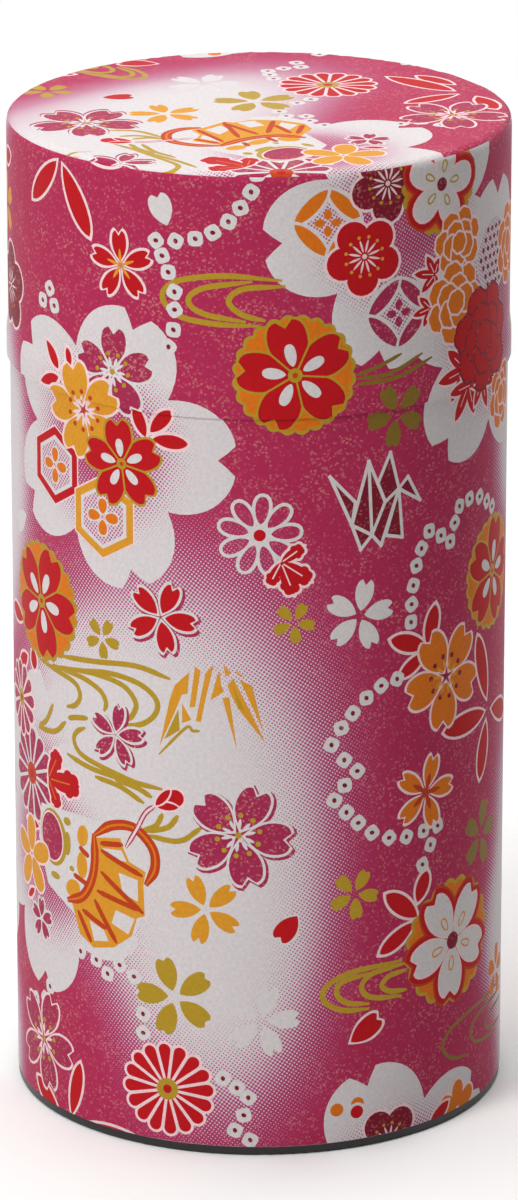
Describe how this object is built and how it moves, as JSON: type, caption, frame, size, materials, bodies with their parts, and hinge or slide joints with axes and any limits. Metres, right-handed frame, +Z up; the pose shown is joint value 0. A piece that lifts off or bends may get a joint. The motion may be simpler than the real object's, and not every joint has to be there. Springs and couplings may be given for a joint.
{
  "type": "tea caddy",
  "caption": "Round upright tea caddy of paper-covered tin, with a lid that slides over a plain neck and an inner lid with a small knob that closes the neck.",
  "frame": {"origin": "centre of the circle that the base rim stands on", "axes": "+Z up along the caddy's axis, -Y towards the side that faces the viewer"},
  "size_m": [0.0796, 0.0796, 0.16],
  "materials": {
    "printed_paper": "printed washi",
    "tinplate": "bright tinned",
    "black_lacquer": "satin lacquer",
    "turned_knob": "turned and tinned"
  },
  "bodies": {
    "caddy_body": {"body_shell": "tinplate", "body_paper": "printed_paper", "bottom_end": "black_lacquer", "neck_sleeve": "tinplate"},
    "outer_lid": {"lid_skirt": "tinplate", "lid_top_plate": "tinplate", "lid_side_paper": "printed_paper", "lid_top_paper": "printed_paper"},
    "inner_lid": {"inner_lid_dish": "tinplate", "inner_lid_knob": "turned_knob", "knob_rivet": "tinplate"}
  },
  "joints": [
    {"name": "lid_lift", "type": "slide", "parent": "caddy_body", "child": "outer_lid", "axis": [0, 0, 1], "range_m": [0, 0.072]},
    {"name": "inner_lid_lift", "type": "slide", "parent": "caddy_body", "child": "inner_lid", "axis": [0, 0, 1], "range_m": [0, 0.024]}
  ],
  "couplings": [
    {"joint": "inner_lid_lift", "follows": "lid_lift", "ratio": 0.33333}
  ]
}
